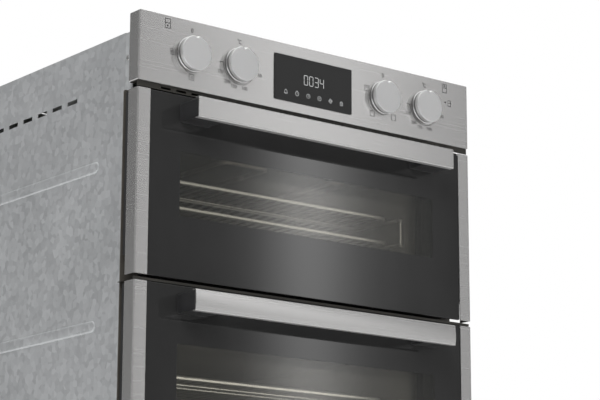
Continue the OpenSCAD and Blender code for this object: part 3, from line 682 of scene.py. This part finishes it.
class Marks:
    """Flat printed shapes, in mm on a plane that faces the front, gathered into one thin piece."""

    def __init__(self, y, thick=0.06):
        self.bm = bmesh.new()
        self.y0, self.y1 = y - thick, y

    def slab(self, outline):
        skin(self.bm, [[(x, self.y0, z) for x, z in outline], [(x, self.y1, z) for x, z in outline]])

    def line(self, pts, width=0.5, closed=False):
        """A stroke along pts with mitred corners."""
        n = len(pts)
        sides = []
        for i in range(n):
            here = Vector(pts[i])
            before = Vector(pts[i - 1]) if (i or closed) else None
            after = Vector(pts[(i + 1) % n]) if (i < n - 1 or closed) else None
            a = (here - before).normalized() if before is not None else (after - here).normalized()
            b = (after - here).normalized() if after is not None else a
            along = (a + b).normalized()
            across = Vector((-along.y, along.x)) * (width / 2 / max(along.dot(a), 0.4))
            sides.append((here + across, here - across))
        if closed:
            self.ring([p for p, _ in sides], [q for _, q in sides])
        else:
            self.slab([p for p, _ in sides] + [q for _, q in reversed(sides)])

    def ring(self, outer, inner):
        loops = [(outer, self.y0), (outer, self.y1), (inner, self.y1), (inner, self.y0)]
        rows = [[self.bm.verts.new(at(x, y, z)) for x, z in loop] for loop, y in loops]
        bridge(self.bm, rows + rows[:1])

    def arc(self, cx, cz, r, start, end, width=0.5, closed=False, steps=24):
        count = steps if closed else steps + 1
        turn = [math.radians(start + (end - start) * k / steps) for k in range(count)]
        self.line([(cx + r * math.cos(a), cz + r * math.sin(a)) for a in turn], width, closed)

    def circle(self, cx, cz, r, width=0.5):
        self.arc(cx, cz, r, 0, 360, width, closed=True)

    def dot(self, cx, cz, r):
        turn = [2 * math.pi * k / 12 for k in range(12)]
        self.slab([(cx + r * math.cos(a), cz + r * math.sin(a)) for a in turn])

    def frame(self, cx, cz, w, h, width=0.5):
        x, z = w / 2, h / 2
        corners = [(cx - x, cz - z), (cx + x, cz - z), (cx + x, cz + z), (cx - x, cz + z)]
        self.line(corners, width, closed=True)

    def text(self, body, cx, cz, height):
        """Figures in the built-in face, height mm tall."""
        curve = bpy.data.curves.new("figures", "FONT")
        curve.body, curve.size = body, height * MM * 1.38
        curve.align_x, curve.align_y = "CENTER", "CENTER"
        curve.extrude = (self.y1 - self.y0) / 2 * MM
        curve.offset = 0.00002
        curve.resolution_u = 4
        obj = bpy.data.objects.new("figures", curve)
        mesh = bpy.data.meshes.new_from_object(obj)
        place = Matrix.Translation(at(cx, (self.y0 + self.y1) / 2, cz)) @ Matrix.Rotation(math.pi / 2, 4, "X")
        mesh.transform(place)
        self.bm.from_mesh(mesh)
        bpy.data.meshes.remove(mesh)
        bpy.data.objects.remove(obj)
        bpy.data.curves.remove(curve)

    def done(self, name, look, slot):
        return new_piece(name, self.bm, [look], "housing", smooth=False)


def oven_mark(marks, cx, cz, kind):
    """A square oven outline with a sign inside for its way of heating."""
    w, size = 0.65, 8.0
    h = size / 2
    if kind == "bottom":
        marks.line([(cx - h, cz - h), (cx - h, cz + h), (cx + h, cz + h), (cx + h, cz - h)], w)
        marks.line([(cx - h, cz - h), (cx - h * 0.1, cz - h)], w)
        marks.line([(cx + h * 0.2, cz - h), (cx + h, cz - h)], w)
        return
    marks.frame(cx, cz, size, size, w)
    if kind == "fan":
        marks.circle(cx, cz, h * 0.55, w)
        for k in range(3):
            a = math.radians(90 + 120 * k)
            marks.line([(cx, cz), (cx + h * 0.5 * math.cos(a), cz + h * 0.5 * math.sin(a))], w)
    elif kind == "grill":
        zigzag = ((-0.55, 0.6), (-0.2, 0.25), (0.15, 0.6), (0.5, 0.25))
        marks.line([(cx + h * x, cz + h * z) for x, z in zigzag], w)
    elif kind == "small":
        marks.line([(cx - h * 0.5, cz + h * 0.5), (cx + h * 0.5, cz + h * 0.5)], w)
    elif kind == "slope":
        marks.line([(cx - h * 0.5, cz - h * 0.4), (cx + h * 0.5, cz + h * 0.5)], w)
        marks.dot(cx + h * 0.3, cz - h * 0.3, 0.8)


def fascia_marks():
    """Signs round the knobs: generic oven outlines, a scale of figures, a degree sign and off marks."""
    marks = Marks(0.0)
    scale_r, tick_in, tick_out = 27.2, 26.6, 28.4
    knobs = {n: (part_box(n)[0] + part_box(n)[1]) / 2 / MM for n in NODES if n.startswith("knob_")}
    for name, c in knobs.items():
        x, z = c.x, c.z
        if "function" in name:
            marks.text("0", x, z + 34, 6.4)
            continue
        marks.text("C", x + 1.2, z + 33.5, 6.2)
        marks.circle(x - 2.6, z + 36.6, 1.0, 0.6)
        marks.arc(x, z, scale_r, -11, -180, 0.6, steps=40)
        figures = (
            ("50", 35, -8), ("100", 9, -31.5), ("150", -9.5, -31.5), ("200", -21, -26.5), ("250", -32, -14),
        )
        for figure, dx, dz in figures:
            a = math.atan2(dz, dx)
            ends = [(x + tick * math.cos(a), z + tick * math.sin(a)) for tick in (tick_in, tick_out)]
            marks.line(ends, 0.5)
            marks.text(figure, x + dx, z + dz, 5.0)
        marks.line([(x - 34.5, z), (x - 28.0, z)], 0.9)
    a, b = knobs["knob_top_function"], knobs["knob_main_function"]
    oven_mark(marks, a.x - 31.5, a.z - 1.5, "fan")
    oven_mark(marks, a.x, a.z - 31.5, "slope")
    oven_mark(marks, b.x - 30.5, b.z + 9.7, "grill")
    oven_mark(marks, b.x - 20.5, b.z - 26.5, "small")
    oven_mark(marks, b.x + 20, b.z - 26, "bottom")
    for x, lower in ((-250.8, True), (251.1, False)):
        z = a.z + 36.5
        marks.frame(x, z, 8.5, 13, 0.85)
        marks.line([(x - 4.2, z + 0.8), (x + 4.2, z + 0.8)], 0.85)
        marks.dot(x, z - 2.9 if lower else z + 3.7, 1.3)
    marks.frame(260.6, a.z + 14.7, 5.4, 8.5, 0.85)
    marks.line([(258, a.z + 15.4), (263.2, a.z + 15.4)], 0.85)
    marks.dot(252.4, a.z + 15.4, 1.4)
    marks.done("fascia_marks", PRINT, "black_paint")


SEGMENTS = {"0": "abcdef", "3": "abcdg", "4": "bcfg"}


def clock_figure(marks, figure, cx, cz):
    """One seven-segment figure of bars with pointed ends."""
    w, h, bar = 6.4, 13.6, 0.95
    x, z, m = w / 2, h / 2, bar / 2
    ends = {
        "a": ((-x, z), (x, z)), "b": ((x, z), (x, 0)), "c": ((x, 0), (x, -z)), "d": ((-x, -z), (x, -z)),
        "e": ((-x, -z), (-x, 0)), "f": ((-x, 0), (-x, z)), "g": ((-x, 0), (x, 0)),
    }
    for key in SEGMENTS[figure]:
        p, q = (Vector(e) for e in ends[key])
        along = (q - p).normalized()
        across = Vector((-along.y, along.x)) * m
        p, q = p + along * 0.2, q - along * 0.2
        middle = Vector((cx, cz))
        near, far = p + along * m, q - along * m
        pts = (p, near + across, far + across, q, far - across, near - across)
        marks.slab([tuple(middle + v) for v in pts])


def display(z0, z1, hw):
    """Glass of the clock with lit figures and six line signs along its foot."""
    face, back = (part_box("display_glass")[0].y - FRONT_Y) / MM, 0.0
    bm = bmesh.new()

    def loop(inset, y):
        return [(x, y, z) for x, z in round_loop(hw - inset, z0 + inset, z1 - inset, 1.8)]

    skin(bm, [loop(0.6, face), loop(0.2, face + 0.2), loop(0, face + 0.6), loop(0, back)])
    glass = new_piece("clock_glass", bm, [DISPLAY], "housing", True, ["display_glass"])
    face_normals(glass)
    marks = Marks(face, 0.05)
    for k, figure in enumerate("0034"):
        clock_figure(marks, figure, -14.4 + 9.6 * k, z0 + 35.7)
    foot, w, r = z0 + 13.2, 0.55, 3.0
    bell, timer, clock, play, gear, lock = (-50.3, -30.2, -10.1, 10.1, 30.2, 50.3)
    left_half = [(-2.8, -2.2), (-2.0, -1.0), (-1.9, 1.4)]
    bell_line = left_half + [(0.0, 3.3)] + [(-x, z) for x, z in reversed(left_half)]
    marks.line([(bell + x, foot + z) for x, z in bell_line], w, closed=True)
    marks.dot(bell, foot - 3.1, 0.6)
    for cx in (timer, clock, play):
        marks.circle(cx, foot, r, w)
    marks.line([(timer, foot + 1.7), (timer, foot), (timer, foot - 1.2)], w)
    marks.line([(timer - 1.2, foot + r + 0.9), (timer + 1.2, foot + r + 0.9)], w)
    marks.line([(clock, foot + 1.8), (clock, foot), (clock + 1.5, foot)], w)
    marks.line([(play - 1.6, foot - 0.4), (play, foot - 0.2), (play + 1.5, foot + 1.4)], w)
    marks.circle(gear, foot, 1.3, w)
    teeth = [(2.2 if (k // 2) % 2 else 3.2, math.radians(k * 22.5)) for k in range(16)]
    marks.line([(gear + q * math.cos(a), foot + q * math.sin(a)) for q, a in teeth], w, closed=True)
    marks.frame(lock, foot - 1.2, 4.6, 3.8, w)
    marks.arc(lock, foot + 1.0, 1.6, 0, 180, w, steps=10)
    marks.dot(lock, foot - 1.2, 0.6)
    marks.done("clock_marks", DIGITS, "pale_plastic")


fascia_marks()
low, high = z_range("display_glass")
display(low, high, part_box("display_glass")[1].x / MM)


# ---- Stage, light and camera ----


def floor():
    bm = bmesh.new()
    bmesh.ops.create_grid(bm, x_segments=1, y_segments=1, size=9.0)
    mesh = bpy.data.meshes.new("floor")
    bm.to_mesh(mesh)
    bm.free()
    t = Tree("floor_look")
    tone = t.mix(t.noise((1.5, 1.5, 1.5), 3.0), grey(0.80), grey(0.84))
    mesh.materials.append(t.done(t.principled(Base_Color=tone, Roughness=0.65)))
    obj = bpy.data.objects.new("floor", mesh)
    bpy.context.scene.collection.objects.link(obj)


def sky():
    """White to the camera; in reflections, a dim studio with one tall soft strip right of the front."""
    world = bpy.data.worlds.new("studio")
    bpy.context.scene.world = world
    world.use_nodes = True
    nt = world.node_tree
    nt.nodes.clear()

    def node(kind, **inputs):
        n = nt.nodes.new("ShaderNode" + kind)
        for key, value in inputs.items():
            if isinstance(value, bpy.types.NodeSocket):
                nt.links.new(value, n.inputs[int(key[1:])])
            else:
                n.inputs[int(key[1:])].default_value = value
        return n

    def calc(op, a, b=0.0):
        n = node("Math", _0=a, _1=b)
        n.operation = op
        return n.outputs[0]

    ray = node("SeparateXYZ", _0=nt.nodes.new("ShaderNodeTexCoord").outputs["Generated"])
    x, y, z = ray.outputs
    turn = calc("ARCTAN2", x, calc("MULTIPLY", y, -1.0))

    def lobe(middle, width, amount):
        off = calc("DIVIDE", calc("SUBTRACT", turn, math.radians(middle)), math.radians(width))
        bell = calc("POWER", math.e, calc("MULTIPLY", calc("MULTIPLY", off, off), -1.0))
        return calc("MULTIPLY", bell, amount)

    # The strip: a bright core and its halo, which fade downwards to a least level.
    strip = calc("ADD", lobe(38.6, 1.2, 2.45), lobe(39.2, 2.5, 0.72))
    knee, slope, at_knee, least = 0.17, 2.2, 0.8, 0.3
    taper = calc("ADD", calc("MULTIPLY", calc("SUBTRACT", z, knee), slope), at_knee)
    level = calc("MULTIPLY", strip, calc("MINIMUM", calc("MAXIMUM", taper, least), 1.0))
    # The surround: a gentle rise with height, an even floor level, and a wide dim glow on the left.
    rise, even_level = 0.09, 0.015
    level = calc("ADD", level, calc("MULTIPLY", calc("ADD", z, 1.0), rise))
    level = calc("ADD", level, even_level)
    level = calc("ADD", level, lobe(-55.0, 32.0, 0.12))
    # The ceiling brightens from this height to straight up.
    ceiling_from, ceiling_gain = 0.5, 2.4
    above = calc("MULTIPLY", calc("MAXIMUM", calc("SUBTRACT", z, ceiling_from), 0.0), ceiling_gain)
    level = calc("ADD", level, above)
    # Diffuse light comes evenly from all round.
    diffuse_level = 0.75
    paths = nt.nodes.new("ShaderNodeLightPath").outputs
    even = calc("MULTIPLY", calc("SUBTRACT", diffuse_level, level), paths["Is Diffuse Ray"])
    level = calc("ADD", level, even)
    look = node("Background", _1=level)
    look.inputs[0].default_value = (1, 1, 1, 1)
    back = node("Background", _0=(1, 1, 1, 1), _1=1.0)
    seen = paths["Is Camera Ray"]
    both = nt.nodes.new("ShaderNodeMixShader")
    nt.links.new(seen, both.inputs[0])
    nt.links.new(look.outputs[0], both.inputs[1])
    nt.links.new(back.outputs[0], both.inputs[2])
    nt.links.new(both.outputs[0], nt.nodes.new("ShaderNodeOutputWorld").inputs[0])


def area_light(name, place, target, size, power, tint=(1, 1, 1), glossy=True):
    light = bpy.data.lights.new(name, "AREA")
    light.shape = "RECTANGLE"
    light.size, light.size_y = size
    light.energy = power
    light.color = tint
    obj = bpy.data.objects.new(name, light)
    obj.location = place
    obj.rotation_euler = (Vector(target) - Vector(place)).to_track_quat("-Z", "Y").to_euler()
    obj.visible_camera = False
    obj.visible_glossy = glossy
    bpy.context.scene.collection.objects.link(obj)


def camera():
    """The photograph's viewpoint: low, to the left of the front, and looking up."""
    yaw, pitch, roll = math.radians(38.375), math.radians(13.067), math.radians(0.162)
    eye = at(-1764.6, -2199.2, 15.0)
    ahead = Vector((math.sin(yaw) * math.cos(pitch), math.cos(yaw) * math.cos(pitch), math.sin(pitch)))
    right = Vector((math.cos(yaw), -math.sin(yaw), 0))
    up = right.cross(ahead)
    x_axis = right * math.cos(roll) + up * math.sin(roll)
    y_axis = up * math.cos(roll) - right * math.sin(roll)
    data = bpy.data.cameras.new("camera")
    data.sensor_width = 36.0
    data.lens = 124.38
    data.clip_end = 50
    obj = bpy.data.objects.new("camera", data)
    axes = Matrix((x_axis, y_axis, -ahead)).transposed().to_4x4()
    obj.matrix_world = Matrix.Translation(eye) @ axes
    bpy.context.scene.collection.objects.link(obj)
    bpy.context.scene.camera = obj


floor()
sky()
camera()
area_light("key", (-2.2, -2.6, 2.9), (0, 0, 0.5), (1.6, 1.6), 60, glossy=False)
area_light("fill", (2.6, 2.4, 2.6), (0, 0, 0.4), (2.0, 2.0), 60, glossy=False)
for cavity, power in (("top_cavity", 0.19), ("main_cavity", 0.72)):
    lo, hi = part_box(cavity)
    middle = (lo + hi) / 2
    place = Vector((middle.x, lo.y + 0.004, middle.z))
    size = (0.42, (hi.z - lo.z) * 0.8)
    area_light(cavity + "_glow", place, place + Vector((0, 1, 0)), size, power, (1.0, 0.985, 0.94))

bpy.context.scene.view_settings.view_transform = "Standard"
